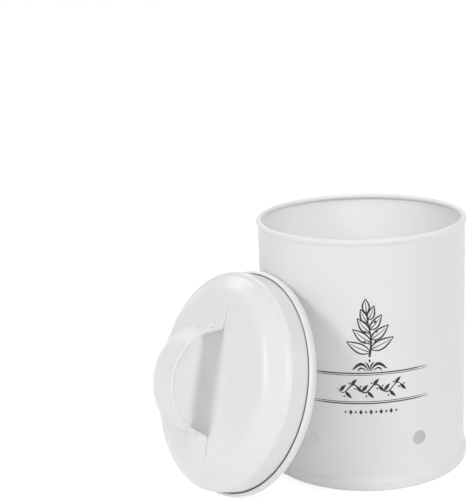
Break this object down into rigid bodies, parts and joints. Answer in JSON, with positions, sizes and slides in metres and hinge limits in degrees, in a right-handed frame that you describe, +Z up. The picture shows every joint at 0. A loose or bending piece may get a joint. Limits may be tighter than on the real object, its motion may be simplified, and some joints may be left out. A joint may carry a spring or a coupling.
{
  "type": "garlic keeper",
  "caption": "Open round sheet-steel canister with vent holes near the foot, and its overcap lid with a strap handle leaning against it.",
  "frame": {"origin": "centre of the canister's foot, on the surface that it stands on", "axes": "+Z up along the canister's axis; the lid leans on the canister's -Y side, and its printed front faces about 36 degrees from +X towards -Y"},
  "size_m": [0.1361, 0.2007, 0.148],
  "materials": {
    "white_powder_coat": "matte white powder coat with a faint orange-peel texture, on pressed steel sheet",
    "bare_wire": "drawn steel wire, hidden inside the rolled rim"
  },
  "bodies": {
    "canister": {"can_wall": "white_powder_coat", "rim_wire": "bare_wire", "can_base": "white_powder_coat"},
    "lid": {"lid_shell": "white_powder_coat", "lid_handle": "white_powder_coat"}
  },
  "joints": [
    {"name": "lid_lift", "type": "slide", "parent": "canister", "child": "lid", "axis": [0, -0.9397, 0.342], "range_m": [0, 0.12]}
  ]
}
